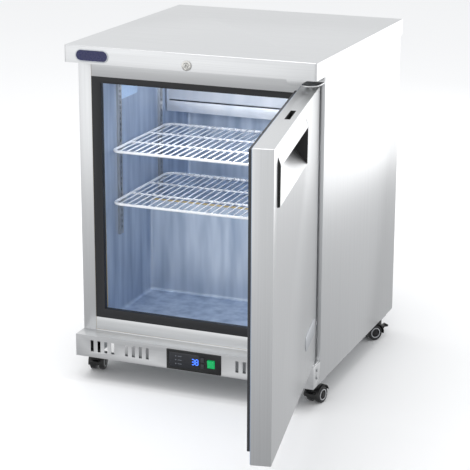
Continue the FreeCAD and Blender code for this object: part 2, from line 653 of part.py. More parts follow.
def make_grille():
    """Kick grille folded to a tray open at the back, with upright vents and a controller cut-out."""
    fold = box("grille_fold", wide("side"), ("grille_face", "front"), ("base", "base + grille_tall"))
    hollow = box("grille_hollow", wide("side - sheet"), ("grille_face + sheet", "front + 5"),
                 ("base + sheet", "base + grille_tall - sheet"))
    notch = box("grille_notch", ("leg_x - 1.5", "side - sheet"), ("front - leaf - 0.5", "front + 5"),
                ("base + grille_tall - 5", "base + grille_tall + 5"))
    through = ("grille_face - 5", "grille_face + 5")
    vents = []
    for hand, sign, panel_edge in (("left", "-1", "panel_wide / 2 - panel_x"),
                                   ("right", "1", "panel_wide / 2 + panel_x")):
        room = "side - vent_side - (%s) - 6 - vent_gap" % panel_edge
        count = min(8, int(number("(%s) / vent_pitch" % room)) + 1)
        for i in range(count):
            shift = "%d * vent_pitch + %d * vent_gap" % (i, i // 4)
            vents.append(box("vent_%s_%d" % (hand, i),
                             wide("vent_wide / 2", "%s * (side - vent_side - (%s))" % (sign, shift)),
                             through, ("base + vent_rise", "base + vent_rise + vent_tall")))
    hole = box("panel_hole", wide("panel_wide / 2 - 3", "panel_x"), through,
               wide("panel_tall / 2 - 3", "panel_z"))
    screw_holes = [rod("grille_screw_hole%d" % i, "1.9", ("-side - 5", "side + 5"), SCREW_Y, z)
                   for i, z in enumerate(SCREW_Z)]
    node(cut("front_grille", fold, hollow, notch, hole, *vents, *screw_holes))


KEY_Z = ("panel_z + key_tall / 2 + 2", "panel_z - key_tall / 2 - 2")
FACE_BACK = "grille_face + 4"


def make_controller():
    """Moulded bezel with a smoked window, two keys and a rocker switch."""
    through = ("grille_face - 5", "grille_face + 8")
    rim = box("bezel_rim", wide("panel_wide / 2", "panel_x"),
              ("grille_face - panel_proud", "grille_face"), wide("panel_tall / 2", "panel_z"))
    case = box("bezel_case", wide("panel_wide / 2 - 3.2", "panel_x"),
               ("grille_face", "grille_face + panel_deep"), wide("panel_tall / 2 - 3.2", "panel_z"))
    room = box("bezel_room", wide("panel_wide / 2 - 5.2", "panel_x"),
               (FACE_BACK, "grille_face + panel_deep - 2"), wide("panel_tall / 2 - 5.2", "panel_z"))
    glass_x = ("panel_x - panel_wide / 2 + panel_rim", "key_x - key_wide / 2 - 3")
    seat = box("window_seat", glass_x, ("grille_face - 5", "grille_face + 1"),
               wide("panel_tall / 2 - panel_rim", "panel_z"))
    opening = box("window_opening", (glass_x[0] + " + 2", glass_x[1] + " - 2"), through,
                  wide("panel_tall / 2 - panel_rim - 2", "panel_z"))
    key_holes = [box("key_hole%d" % i, wide("key_wide / 2 + play", "key_x"), through,
                     wide("key_tall / 2 + play", z)) for i, z in enumerate(KEY_Z)]
    rocker_hole = box("rocker_hole", wide("rocker_size / 2 + play", "rocker_x"), through,
                      wide("rocker_size / 2 + 1.4", "panel_z"))
    node(cut("controller_bezel", fuse("bezel_solid", rim, case), room, seat, opening, rocker_hole,
             *key_holes))
    node(box("display_window", (glass_x[0] + " + 0.1", glass_x[1] + " - 0.1"),
             ("grille_face - panel_proud + 0.6", "grille_face + 0.9"),
             wide("panel_tall / 2 - panel_rim - 0.1", "panel_z")))
    for name, z in zip(("key_up", "key_down"), KEY_Z):
        cap = box(name + "_cap", wide("key_wide / 2", "key_x"),
                  ("grille_face - panel_proud - key_proud", FACE_BACK + " + 1"), wide("key_tall / 2", z))
        flange = box(name + "_flange", wide("key_wide / 2 + 1.5", "key_x"),
                     (FACE_BACK + " + 0.05", FACE_BACK + " + 1.5"), wide("key_tall / 2 + 1.5", z))
        node(fuse(name, cap, flange))


def make_rocker():
    """Rocker with a shallow V face, resting with its lower half pressed in."""
    half = "(rocker_size / 2)"
    rise = "%s * tan(rocker_tilt * 1deg)" % half
    points = [("-4", "-" + half), ("-4 + " + rise, "0"), ("-4", half), ("5", half), ("5", "-" + half)]
    rocker = pad("rocker_switch", "YZ", points, "rocker_size", "-rocker_size / 2")
    turn(rocker, (1, 0, 0), 1)
    bind(rocker, "Placement.Rotation.Angle", "rocker_tilt")
    node(at(rocker, "rocker_x", "grille_face", "panel_z"))


# ---------------------------------------------------------------- lock and plates
def make_lock():
    """Cam lock in the worktop's rim; the cam reaches into the door's slot when turned."""
    cam_y = ("pivot_y - cam_thick / 2", "pivot_y + cam_thick / 2")
    ring = rod("lock_ring_disc", "lock_ring", "0", ("rim_face - 3", "rim_face"), "lock_z")
    body = rod("lock_body", "lock_radius", "0", ("rim_face", cam_y[0] + " - 0.2"), "lock_z")
    nut = rod("lock_nut", "lock_ring - 0.5", "0", ("rim_face + sheet", "rim_face + sheet + 4"), "lock_z")
    way = rod("lock_way", "plug_radius + run_gap", "0", ("rim_face - 9", "pivot_y + 9"), "lock_z")
    node(cut("lock_barrel", fuse("lock_solid", ring, body, nut), way))
    plug = rod("plug_rod", "plug_radius", "0", ("rim_face - 3.4", cam_y[0]), "lock_z")
    key_slot = box("plug_key_slot", wide("0.7"), ("rim_face - 9", "rim_face + 6"), wide("3.6", "lock_z"))
    node(cut("lock_plug", plug, key_slot))
    arm_x = ("0", "cam_arm - cam_wide / 2")
    arm = box("cam_bar", arm_x, cam_y, wide("cam_wide / 2", "lock_z"))
    ends = [rod("cam_end%d" % i, "cam_wide / 2", x, cam_y, "lock_z") for i, x in enumerate(arm_x)]
    bolt = rod("cam_bolt", "4", "0", (cam_y[1], cam_y[1] + " + 3"), "lock_z")
    node(fuse("lock_cam", arm, *ends, bolt))


def make_name_plate():
    """Blank oval plate on the rim's left end."""
    node(stadium("name_plate", "name_side - width / 2", "41.5", "-21.5", "14.5",
                 ("rim_face - plate_thick", "rim_face")))


# ---------------------------------------------------------------- hinges
def make_hinges():
    """Bracket with a pin above the door and its fellow below."""
    leaf_y = ("front - leaf", "front")
    across = ("leg_x", "door_half")
    top_z = ("hinge_top", "hinge_top + leaf")
    leg = box("top_leg", across, leaf_y, ("hinge_top - leaf", "-rim - 2"))
    tab = box("top_tab", ("tab_x", "leg_x"), leaf_y, ("hinge_top - 10", "-rim - 2"))
    tab_end = rod("top_tab_end", "(8 - rim - hinge_top) / 2", "tab_x", leaf_y,
                  "(hinge_top - rim - 12) / 2")
    plate = box("top_plate", across, ("pivot_y", "front"), top_z)
    nose = rod("top_nose", "plate_round", "pivot_x", "pivot_y", top_z)
    pin = rod("top_pin", "pin_radius", "pivot_x", "pivot_y",
              ("door_top - bush_long + 2", "hinge_top + 1"))
    node(fuse("top_hinge", leg, tab, tab_end, plate, nose, pin))
    low_z = ("base + grille_tall + 0.2", "hinge_low")
    plate = box("low_plate", across, ("pivot_y", "front"), low_z)
    nose = rod("low_nose", "plate_round", "pivot_x", "pivot_y", low_z)
    trim = box("low_trim", ("leg_x - 1", "side"), ("grille_face - 30", "grille_face"),
               ("hinge_low - 9", "hinge_low + 9"))
    leg = box("low_leg", ("leg_x", "door_half - 3"), leaf_y, ("hinge_low - 40", "hinge_low"))
    pin = rod("low_pin", "pin_radius", "pivot_x", "pivot_y",
              ("hinge_low - 1", "door_low + bush_long - 2"))
    flat = cut("low_plate_trimmed", fuse("low_flat", plate, nose), trim)
    node(fuse("bottom_hinge", flat, leg, pin))


# ---------------------------------------------------------------- door
def pull_outline(shift):
    """Section of the pull: lip, sloping wall to the deepest line, lower wall back out."""
    return [("door_face + %s" % shift, "pull_top"),
            ("door_face - pull_proud * 0.9 + %s" % shift, "pull_top - pull_nose * 0.72"),
            ("door_face - pull_proud + %s" % shift, "pull_top - pull_nose"),
            ("door_face + pull_deep + %s" % shift, "pull_top - pull_low"),
            ("door_face - pull_proud * 0.85 + %s" % shift, "pull_top - pull_tall + 1.5"),
            ("door_face + %s" % shift, "pull_top - pull_tall")]


def pin_way(name, radius, low, high):
    return rod(name, radius, "pivot_x", "pivot_y", (low, high))


def make_door_skin():
    """Folded outer pan with its cut-outs for the pull, the lock cam and the bushes."""
    outer = pad("skin_outer", "XY", rectangle(wide("door_half"), ("door_face", "door_back")),
                "door_top - door_low", "door_low")
    face_y = number("door_face")
    soften(outer, "2", lambda edge: runs_along(2)(edge) and edge.CenterOfMass.y < face_y + 1)
    hollow = box("skin_hollow", wide("door_half - sheet"), ("door_face + sheet", "door_back + 5"),
                 ("door_low + sheet", "door_top - sheet"))
    pull_hole = box("skin_pull_hole", ("pull_left - pull_cap", "pull_right + pull_cap"),
                    ("door_face - 5", "door_face + 5"), ("pull_top - pull_tall", "pull_top"))
    slot = box("skin_slot", wide("slot_long / 2"), wide("slot_wide / 2", "pivot_y"),
               ("door_top - 5", "door_top + 5"))
    ways = [pin_way("skin_way_top", "bush_radius", "door_top - 5", "door_top + 5"),
            pin_way("skin_way_low", "bush_radius", "door_low - 5", "door_low + 5")]
    node(swing(cut("door_skin", outer, hollow, pull_hole, slot, *ways)))


def make_door_core():
    """Inner panel with its shallow dish, and the foam between it and the skin."""
    sheet_y = ("door_back - sheet", "door_back")
    pan = box("inner_sheet", wide("door_half - sheet - 0.1"), sheet_y,
              ("door_low + sheet + 0.1", "door_top - sheet - 0.1"))
    dish = box("inner_dish", wide("door_half - dish_side"), ("door_back - dish_deep - sheet", sheet_y[0]),
               ("door_low + dish_side", "door_top - dish_side + 12"))
    hollow = box("inner_dish_room", wide("door_half - dish_side - sheet"),
                 ("door_back - dish_deep", "door_back + 1"),
                 ("door_low + dish_side + sheet", "door_top - dish_side + 12 - sheet"))
    node(swing(cut("door_inner_panel", fuse("inner_solid", pan, dish), hollow)))
    core = box("core_block", wide("door_half - sheet"), ("door_face + sheet", sheet_y[0]),
               ("door_low + sheet", "door_top - sheet"))
    outline = [("door_face - 1", "pull_top + 8"),
               ("door_face + pull_deep + pull_sheet + 0.6", "pull_top - pull_low"),
               ("door_face - 1", "pull_top - pull_tall - 8")]
    pocket = pad("core_pocket", "YZ", outline, "pull_long + 2 * pull_cap + 1",
                 "pull_left - pull_cap - 0.5")
    slot_room = box("core_slot", wide("slot_long / 2"), wide("slot_wide / 2", "pivot_y"),
                    ("door_top - slot_deep", "door_top + 5"))
    ways = [pin_way("core_way_top", "bush_radius", "door_top - bush_long", "door_top + 5"),
            pin_way("core_way_low", "bush_radius", "door_low - 5", "door_low + bush_long")]
    node(swing(cut("door_foam", core, dish, pocket, slot_room, *ways)))


def make_bushes():
    """Plastic bushes that line the door's two pin holes; the lower one carries the door."""
    bore = "pin_radius + run_gap"
    top = cut("bush_top", pin_way("bush_top_body", "bush_radius", "door_top - bush_long", "door_top"),
              pin_way("bush_top_bore", bore, "door_top - bush_long + 1", "door_top + 5"))
    body = pin_way("bush_low_body", "bush_radius", "door_low", "door_low + bush_long")
    washer = pin_way("bush_low_washer", "pin_radius + 6", "door_low - washer", "door_low")
    low = cut("bush_low", fuse("bush_low_solid", body, washer),
              pin_way("bush_low_bore", bore, "door_low - 5", "door_low + bush_long - 1"))
    node(swing(several("hinge_bushes", top, low)))


def make_gasket():
    """Magnetic seal ring on the door's inner face."""
    half = "door_half - gasket_side"
    low, high = "door_low + gasket_rise", "door_top - gasket_drop"
    ring = box("gasket_outer", wide(half), ("door_back", "door_back + gasket_thick"), (low, high))
    hole = box("gasket_hole", wide(half + " - gasket_wide"),
               ("door_back - 1", "door_back + gasket_thick + 1"),
               (low + " + gasket_wide", high + " - gasket_wide"))
    node(swing(cut("door_gasket", ring, hole)))


def make_handle():
    """Recessed pull folded from one sheet, closed by a moulded cap at each end."""
    face = pull_outline("0")
    back = pull_outline("pull_sheet")
    node(swing(pad("handle_shell", "YZ", face + back[::-1], "pull_long", "pull_left")))
    outline = face[:3] + face[4:] + [back[5], back[3], back[0]]
    caps = [pad("handle_cap%d" % i, "YZ", outline, "pull_cap", x)
            for i, x in enumerate(("pull_left - pull_cap", "pull_right"))]
    node(swing(several("handle_end_caps", *caps)))


def make_door_badge():
    """Blank oval plate low on the hinge side of the door."""
    node(swing(stadium("door_badge", "door_half - badge_side", "70", "door_low + badge_rise", "20",
                       ("door_face - plate_thick", "door_face"))))


# ---------------------------------------------------------------- castors
def make_castors():
    """Four plate castors with twin wheels and brake pedals, each resting in its own direction."""
    left, right = "castor_side - side", "side - castor_side"
    near, far = "front + castor_front", "rear - castor_rear"
    plates = []
    for tag, x, y in (("front_left", left, near), ("front_right", right, near),
                      ("rear_left", left, far), ("rear_right", right, far)):
        plates.append(castor_plate(tag, x, y))
        for piece in (make_hood(tag, x, y), make_wheels(tag, x, y), make_pedal(tag, x, y)):
            node(turn_about(piece, x, y, "turn_" + tag))
    node(several("castor_plates", *plates))


def castor_plate(tag, x, y):
    """Square plate with the bearing's outer race and the hole for the king pin."""
    plate = box("plate_" + tag, wide("mount_plate / 2", x), wide("mount_plate / 2", y),
                ("base - 2.5", "base"))
    race = rod("race_" + tag, "bearing_radius", x, y, ("base - 5.5", "base - 2.5"))
    hole = rod("king_hole_" + tag, "4 + run_gap", x, y, ("base - 9", "base + 9"))
    return cut("castor_plate_" + tag, fuse("castor_top_" + tag, plate, race), hole)


PEDAL_Z = "axle_z + 9"


def make_hood(tag, x, y):
    """Swivel hood: round head, arch over the wheels, centre web, axle and king pin."""
    name = "castor_hood_" + tag
    axle_y = y + " + trail"
    half = "(wheel_split + wheel_wide + 0.6)"
    web_half = "(wheel_split - 0.8)"
    arch = rod(name + "_arch", "wheel_radius + hood_gap + hood_thick", wide(half, x), axle_y, "axle_z")
    head = rod(name + "_head", "bearing_radius + 2", x, y, ("axle_z + wheel_radius - 2", "castor_top"))
    rooms = [rod(name + "_room_l", "wheel_radius + hood_gap",
                 ("%s - %s - 5" % (x, half), "%s - %s" % (x, web_half)), axle_y, "axle_z"),
             rod(name + "_room_r", "wheel_radius + hood_gap",
                 ("%s + %s" % (x, web_half), "%s + %s + 5" % (x, half)), axle_y, "axle_z")]
    below = box(name + "_below", wide("40", x), wide("60", axle_y), ("axle_z - 60", "axle_z - 4"))
    behind = box(name + "_behind", wide("40", x), (axle_y + " + wheel_radius - 4", axle_y + " + 60"),
                 ("axle_z - 30", "axle_z + 8"))
    flat = box(name + "_flat", wide("40", x), wide("70", axle_y), ("castor_top", "base + 60"))
    shell = cut(name + "_shell", fuse(name + "_mass", arch, head), *rooms, below, behind, flat)
    web = rod(name + "_web", "8", wide(web_half, x), axle_y, "axle_z")
    axle = rod(name + "_axle", "axle_radius", wide(half, x), axle_y, "axle_z")
    king_pin = rod(name + "_king_pin", "4", x, y, ("castor_top - 1", "base - 1"))
    pieces = [shell, web, axle, king_pin]
    for sign in "-+":
        lug = box("%s_lug%d" % (name, len(pieces)), wide("1", "%s %s 10.4" % (x, sign)),
                  (pedal_y(y) + " - 2.5", axle_y + " - wheel_radius - hood_gap"), wide("3", PEDAL_Z))
        pieces.append(lug)
    pieces.append(rod(name + "_pedal_pin", "1.2", wide("11", x), pedal_y(y), PEDAL_Z))
    return fuse(name, *pieces)


def pedal_y(y):
    return y + " + trail - wheel_radius - hood_gap - hood_thick - 3"


def make_wheels(tag, x, y):
    """Twin wheels: two turned discs on one axle."""
    name = "castor_wheels_" + tag
    outside = "wheel_split + wheel_wide"
    discs = []
    for i, sign in enumerate(("-", "")):
        points = [("wheel_split", "axle_radius + run_gap"), ("wheel_split", "wheel_radius - 3"),
                  ("wheel_split + 2", "wheel_radius"), (outside + " - 2", "wheel_radius"),
                  (outside, "wheel_radius - 3"), (outside, "wheel_radius - 6"),
                  (outside + " - 2", "wheel_radius - 7"), (outside + " - 2", "8"),
                  (outside, "7"), (outside, "axle_radius + run_gap")]
        if sign:
            points = [("-(%s)" % a, b) for a, b in reversed(points)]
        disc = revolve("%s_disc%d" % (name, i), points, "H_Axis")
        discs.append(at(disc, x, y + " + trail", "axle_z"))
    return several(name, *discs)


def make_pedal(tag, x, y):
    """Brake pedal on the hood's front, pivoted on the cross pin."""
    name = "castor_brake_" + tag
    place = pedal_y(y)
    hub = rod(name + "_hub", "2.8", wide("9", x), place, PEDAL_Z)
    tread = box(name + "_tread", wide("9", x), (place + " - 15", place), (PEDAL_Z + " - 1", PEDAL_Z + " + 2"))
    lip = box(name + "_lip", wide("9", x), (place + " - 16", place + " - 13"),
              (PEDAL_Z + " - 1", PEDAL_Z + " + 4"))
    bore = rod(name + "_bore", "1.2 + run_gap", wide("12", x), place, PEDAL_Z)
    return cut(name, fuse(name + "_solid", hub, tread, lip), bore)


def make_screws():
    """Screws of the front grille's returns, the rear cover and the castor plates."""
    heads = []
    for i, z in enumerate(SCREW_Z):
        for hand, head_x, shank_x in (("left", ("-side - 1.6", "-side"), ("-side", "-side + 4")),
                                      ("right", ("side", "side + 1.6"), ("side - 4", "side"))):
            head = rod("grille_head_%s%d" % (hand, i), "3.4", head_x, SCREW_Y, z)
            shank = rod("grille_shank_%s%d" % (hand, i), "1.8", shank_x, SCREW_Y, z)
            heads.append(fuse("grille_screw_%s%d" % (hand, i), head, shank))
    for x in ("20 - side", "side - 20"):
        for z in ("bay_top - 14", "base + 14"):
            heads.append(rod("rear_screw%d" % len(heads), "4", x, ("rear", "rear + 2"), z))
    corners = [(a, b) for a in "-+" for b in "-+"]
    for x in ("castor_side - side", "side - castor_side"):
        for y in ("front + castor_front", "rear - castor_rear"):
            for a, b in corners:
                heads.append(rod("plate_bolt%d" % len(heads), "3", "%s %s 16" % (x, a),
                                 "%s %s 16" % (y, b), ("base - 5", "base - 2.5")))
    node(several("screws", *heads))


# ---------------------------------------------------------------- build and write
make_worktop()
make_side("side_panel_left", -1)
make_side("side_panel_right", 1)
make_rails()
make_insulation(make_breaker())
make_liner()
make_base()
make_back()
make_uprights()
make_shelf("shelf_upper", "shelf_rise + shelf_step")
make_shelf("shelf_lower", "shelf_rise")
make_evaporator()
make_compressor()
make_condenser()
make_pipes()
make_grille()
make_controller()
make_rocker()
make_lock()
make_name_plate()
make_hinges()
make_door_skin()
make_door_core()
make_bushes()
make_gasket()
make_handle()
make_door_badge()
make_castors()
make_screws()
doc.removeObject(probe.Name)
doc.recompute()

for thing in doc.Objects:
    if {"Invalid", "Error"} & set(thing.State):
        raise RuntimeError("%s failed: %s" % (thing.Name, thing.getStatusString()))
for thing in NODES:
    if thing.Shape.isNull() or not thing.Shape.isValid() or not thing.Shape.Solids:
        raise RuntimeError("%s has no valid solid" % thing.Label)

os.makedirs("parts", exist_ok=True)
for thing in NODES:
    thing.Shape.exportStep("parts/%s.step" % thing.Label)
    print("%-26s solids %3d  volume %12.1f mm3" % (
        thing.Label, len(thing.Shape.Solids), thing.Shape.Volume))
print(len(NODES), "nodes")
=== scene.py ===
"""Undercounter refrigerator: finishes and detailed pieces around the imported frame, in metres.

The door's pieces are modelled closed and carried to their open angle about the hinge axis.
"""
import json
import math

import bpy
from mathutils import Matrix, Vector

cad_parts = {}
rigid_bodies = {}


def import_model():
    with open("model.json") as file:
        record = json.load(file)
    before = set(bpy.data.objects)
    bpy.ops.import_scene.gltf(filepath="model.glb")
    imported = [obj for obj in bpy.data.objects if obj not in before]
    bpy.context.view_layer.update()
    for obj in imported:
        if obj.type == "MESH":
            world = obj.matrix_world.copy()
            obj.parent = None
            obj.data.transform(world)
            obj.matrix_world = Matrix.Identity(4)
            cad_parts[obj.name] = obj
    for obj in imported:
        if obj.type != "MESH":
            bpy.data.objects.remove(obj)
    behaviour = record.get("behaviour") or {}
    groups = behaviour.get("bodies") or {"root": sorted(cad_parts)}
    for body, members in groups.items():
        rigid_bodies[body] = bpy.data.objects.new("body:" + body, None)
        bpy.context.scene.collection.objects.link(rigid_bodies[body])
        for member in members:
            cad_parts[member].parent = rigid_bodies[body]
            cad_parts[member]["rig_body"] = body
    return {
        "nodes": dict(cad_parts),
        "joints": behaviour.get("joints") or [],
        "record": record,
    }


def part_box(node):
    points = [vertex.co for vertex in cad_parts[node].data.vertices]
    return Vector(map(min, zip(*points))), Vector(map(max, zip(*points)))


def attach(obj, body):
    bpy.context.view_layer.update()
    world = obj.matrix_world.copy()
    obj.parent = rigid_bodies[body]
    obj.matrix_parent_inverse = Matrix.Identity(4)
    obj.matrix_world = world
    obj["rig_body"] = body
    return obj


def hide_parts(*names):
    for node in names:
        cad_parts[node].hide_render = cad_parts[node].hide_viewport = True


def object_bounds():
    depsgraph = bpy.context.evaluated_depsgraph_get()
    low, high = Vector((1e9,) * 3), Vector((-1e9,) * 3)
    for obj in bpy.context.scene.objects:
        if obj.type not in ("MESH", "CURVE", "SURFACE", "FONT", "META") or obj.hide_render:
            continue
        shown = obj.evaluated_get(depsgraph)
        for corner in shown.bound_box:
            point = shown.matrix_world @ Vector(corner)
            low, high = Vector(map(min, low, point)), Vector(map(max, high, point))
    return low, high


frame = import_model()
cad_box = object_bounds()
nodes = frame["nodes"]
MM = 0.001
SLOTS = {row["node"]: row["material_slot"] for row in frame["record"]["subparts"]}


# ---------------------------------------------------------------- colours and nodes
def linear(code):
    """Turn an sRGB hex value into linear red, green, blue and full alpha."""
    parts = [int(code[i:i + 2], 16) / 255 for i in (1, 3, 5)]
    return [c / 12.92 if c <= 0.04045 else ((c + 0.055) / 1.055) ** 2.4 for c in parts] + [1.0]


def add(tree, kind, settings, links=None):
    """Add a node, set its values and sockets, and link its inputs."""
    node = tree.nodes.new(kind)
    for key, value in settings.items():
        if isinstance(key, str) and hasattr(node, key):
            setattr(node, key, value)
        else:
            node.inputs[key].default_value = value
    for key, source in (links or {}).items():
        tree.links.new(source, node.inputs[key])
    return node


def start(name, settings):
    """A material with its shader, and the object coordinates that patterns read."""
    material = bpy.data.materials.new(name)
    material.use_nodes = True
    tree = material.node_tree
    shader = tree.nodes["Principled BSDF"]
    for key, value in settings.items():
        shader.inputs[key].default_value = value
    place = add(tree, "ShaderNodeTexCoord", {}).outputs["Object"]
    return material, tree, shader, place


def vary(tree, shader, pattern, spread, colours, rough, relief):
    """Let one pattern move a finish between two colours and two roughnesses, and give it relief."""
    even = add(tree, "ShaderNodeMapRange", {"From Min": spread[0], "From Max": spread[1]},
               {"Value": pattern}).outputs["Result"]
    tint = add(tree, "ShaderNodeMix",
               {"data_type": "RGBA", 6: linear(colours[0]), 7: linear(colours[1])}, {0: even})
    sheen = add(tree, "ShaderNodeMapRange", {"To Min": rough[0], "To Max": rough[1]}, {"Value": even})
    raised = add(tree, "ShaderNodeBump", {"Strength": relief[0], "Distance": relief[1]},
                 {"Height": pattern})
    tree.links.new(tint.outputs[2], shader.inputs["Base Color"])
    tree.links.new(sheen.outputs["Result"], shader.inputs["Roughness"])
    tree.links.new(raised.outputs["Normal"], shader.inputs["Normal"])


def drawn_out(tree, place, along, grain, length, detail):
    """Noise stretched along one axis: grain and length are the real size of one streak."""
    scale = [1 / grain] * 3
    scale["XYZ".index(along)] = 1 / length
    mapped = add(tree, "ShaderNodeMapping", {"Scale": scale}, {"Vector": place}).outputs["Vector"]
    return add(tree, "ShaderNodeTexNoise", {"Scale": 1.0, "Detail": detail, "Roughness": 0.55},
               {"Vector": mapped}).outputs["Fac"]


# ---------------------------------------------------------------- finishes
def brushed(name, along, colours=("#DDDEDF", "#D7D8D9"), rough=(0.28, 0.34), grain=2.2 * MM):
    """Belt-brushed metal: long lines along one axis draw its sheen out.

    The real lines are 0.1 mm apart; they are drawn coarser so that they show.
    """
    material, tree, shader, place = start(name, {"Metallic": 1.0})
    lines = drawn_out(tree, place, along, grain, 300 * MM, 4.0)
    vary(tree, shader, lines, (0.32, 0.68), colours, rough, (0.06, 0.04 * MM))
    return material


def rolled(name, colours, grain=30 * MM, length=260 * MM):
    """Thin rolled sheet: broad soft waves stand upright in it and bend what it reflects; the same waves
    also paint lighter and darker upright bands into its colour, as painted reflections.
    """
    material, tree, shader, place = start(name, {"Metallic": 0.55, "Coat Weight": 0.2,
                                                 "Coat Roughness": 0.3})
    waves_and_painted_reflections = drawn_out(tree, place, "Z", grain, length, 2.0)
    # the waves bend the surface, and they also paint upright lighter and darker bands into the colour:
    # painted reflections
    vary(tree, shader, waves_and_painted_reflections, (0.3, 0.7), colours, (0.3, 0.46), (0.35, 1.2 * MM))
    return material


def spangled(name, colours, cell=9 * MM, rough=(0.36, 0.52)):
    """Zinc-dipped sheet: dull grey crystals a few millimetres across."""
    material, tree, shader, place = start(name, {"Metallic": 0.9})
    cells = add(tree, "ShaderNodeTexVoronoi", {"Scale": 1 / cell}, {"Vector": place}).outputs["Distance"]
    vary(tree, shader, cells, (0.0, 0.8), colours, rough, (0.05, 0.05 * MM))
    return material


def moulded(name, colours, rough, grain=1.2 * MM, height=0.03 * MM, settings=None):
    """Moulded or coated surface: a fine even grain that breaks up its sheen."""
    material, tree, shader, place = start(name, dict({"IOR": 1.46}, **(settings or {})))
    spots = add(tree, "ShaderNodeTexNoise", {"Scale": 1 / grain, "Detail": 3.0},
                {"Vector": place}).outputs["Fac"]
    vary(tree, shader, spots, (0.3, 0.7), colours, (rough - 0.05, rough + 0.05), (0.2, height))
    return material


def build_finishes():
    """One material for each finish on the object, with what it gives the eye."""
    made = {}
    # 304 stainless sheet, brushed upright: pale grey with an upright, drawn-out sheen
    made["stainless"] = brushed("upright_brushed_stainless", "Z")
    # the same sheet brushed across: level streaks on the worktop, rails and grille
    made["stainless_level"] = brushed("level_brushed_stainless", "X")
    # coated aluminium liner: light blue-grey, with wavy upright reflections painted into its colour as
    # lighter and darker bands
    made["liner_metal"] = rolled("coated_aluminium_liner", ("#C9D6E8", "#9FB0C8"))
    # zinc-dipped steel: dull spangled grey on the back and under the cabinet
    made["galvanised"] = spangled("zinc_dipped_sheet", ("#A4A8AB", "#8B9093"))
    # extruded PVC frame: satin charcoal line round the mouth
    made["breaker"] = moulded("extruded_charcoal_pvc", ("#232427", "#1D1E21"), 0.42, 2 * MM)
    # blown polyurethane: matt cream cells
    made["foam"] = moulded("blown_polyurethane", ("#D9C79B", "#C9B586"), 0.8, 1.5 * MM, 0.2 * MM)
    # epoxy dip on wire: clean bright white with soft highlights
    made["white_coat"] = moulded("white_epoxy_dip", ("#F4F6FA", "#E9EDF3"), 0.3, 3 * MM, 0.02 * MM)
    # pressed spring steel: small grey highlights
    made["clip_metal"] = brushed("pressed_spring_steel", "Z", ("#C4C6C9", "#B2B4B7"), (0.28, 0.4))
    # coated aluminium cover: a shade whiter than the liner, with the same painted reflection bands
    made["cover_panel"] = rolled("coated_aluminium_cover", ("#E3E8F0", "#CDD5E0"), 60 * MM)
    # rolled fin stock: plain dull aluminium
    made["fin_stack"] = spangled("rolled_fin_aluminium", ("#B4B8BB", "#9CA1A5"), 4 * MM)
    # stove enamel: glossy black
    made["motor_case"] = moulded("black_stove_enamel", ("#17181A", "#101113"), 0.3, 3 * MM)
    # glass-filled nylon: satin black
    made["fan_plastic"] = moulded("black_filled_nylon", ("#1B1C1E", "#141517"), 0.45)
    # drawn copper: warm, a little tarnished
    made["copper"] = brushed("drawn_copper_tube", "Z", ("#C98A63", "#B2714C"), (0.25, 0.4))
    # moulded ABS: fine-grained black
    made["bezel"] = moulded("black_moulded_abs", ("#18191B", "#121315"), 0.42)
    # smoked acrylic: dark, glossy and nearly flat
    made["smoked_window"] = moulded("smoked_acrylic", ("#26282D", "#202227"), 0.1, 6 * MM, 0.004 * MM)
    # silicone rubber: soft dark grey
    made["keys"] = moulded("grey_silicone_rubber", ("#34363A", "#2C2E33"), 0.52)
    # tinted polycarbonate: clear strong green, and its emission makes it glow faintly
    made["rocker"] = moulded("green_polycarbonate", ("#0FA05A", "#0B8C4E"), 0.18, 4 * MM, 0.004 * MM,
                             {"Emission Color": linear("#12B765"), "Emission Strength": 0.35})
    # nickel plate on brass: bright and nearly mirror-like
    made["lock_metal"] = brushed("nickel_plated_brass", "Y", ("#D8D7D3", "#C8C7C3"), (0.12, 0.2))
    # baked lacquer: deep navy gloss
    made["plate"] = moulded("navy_baked_lacquer", ("#2B2E58", "#25284F"), 0.28, 4 * MM, 0.005 * MM)
    # satin anodised aluminium: pale, even, soft sheen
    made["badge"] = brushed("satin_anodised_aluminium", "Z", ("#CDD0D4", "#BFC3C8"), (0.34, 0.42))
    # soft PVC: matt dark grey
    made["gasket"] = moulded("grey_soft_pvc", ("#3A3B3E", "#323336"), 0.55, 2 * MM)
    # acetal: slightly waxy white
    made["bush"] = moulded("white_acetal", ("#E4E4DE", "#D9D9D2"), 0.4)
    # moulded ABS end pieces: satin black
    made["end_cap"] = moulded("black_satin_abs", ("#151516", "#101011"), 0.5)
    # nylon 6: satin black with soft highlights on its edges
    made["castor_black"] = moulded("black_moulded_nylon", ("#141415", "#0E0E0F"), 0.34)
    # polyurethane tread: darker and duller than the hoods
    made["wheel"] = moulded("black_tread_polyurethane", ("#1B1B1D", "#151517"), 0.5)
    # zinc-plated steel screws: bright grey heads
    made["screw_metal"] = brushed("zinc_plated_steel", "X", ("#C6C8CA", "#B0B2B4"), (0.2, 0.34))
    # EPDM rubber: matt black
    made["gland"] = moulded("black_epdm_rubber", ("#161617", "#101011"), 0.6)
    # grey polypropylene hub face: a pale ring on each wheel
    made["hub_ring"] = moulded("grey_polypropylene", ("#B9BBBE", "#A9ABAF"), 0.4)
    # lit segments under acrylic: an even blue glow
    made["lit_blue"] = moulded("lit_blue_segment", ("#3C6BE0", "#3763D6"), 0.3, 2 * MM, 0.002 * MM,
                               {"Emission Color": linear("#3E74FF"), "Emission Strength": 2.2})
    # ink on acrylic: faint grey
    made["ink"] = moulded("grey_screen_ink", ("#6A6E76", "#60646C"), 0.4, 2 * MM, 0.002 * MM)
    # film label: pale blue, slightly glossy
    made["label"] = moulded("pale_blue_film", ("#BCD4EE", "#AFC9E8"), 0.35, 5 * MM, 0.004 * MM)
    return made


finishes = build_finishes()
LEVEL = ("worktop", "front_rails", "front_grille")


def finish_of(node):
    """The finish of a CAD node; brushing runs level on the pieces that lie across."""
    return finishes["stainless_level" if node in LEVEL else SLOTS[node]]


def paint(piece, *materials):
    """Give a piece its materials."""
    piece.data.materials.clear()
    for material in materials:
        piece.data.materials.append(material)


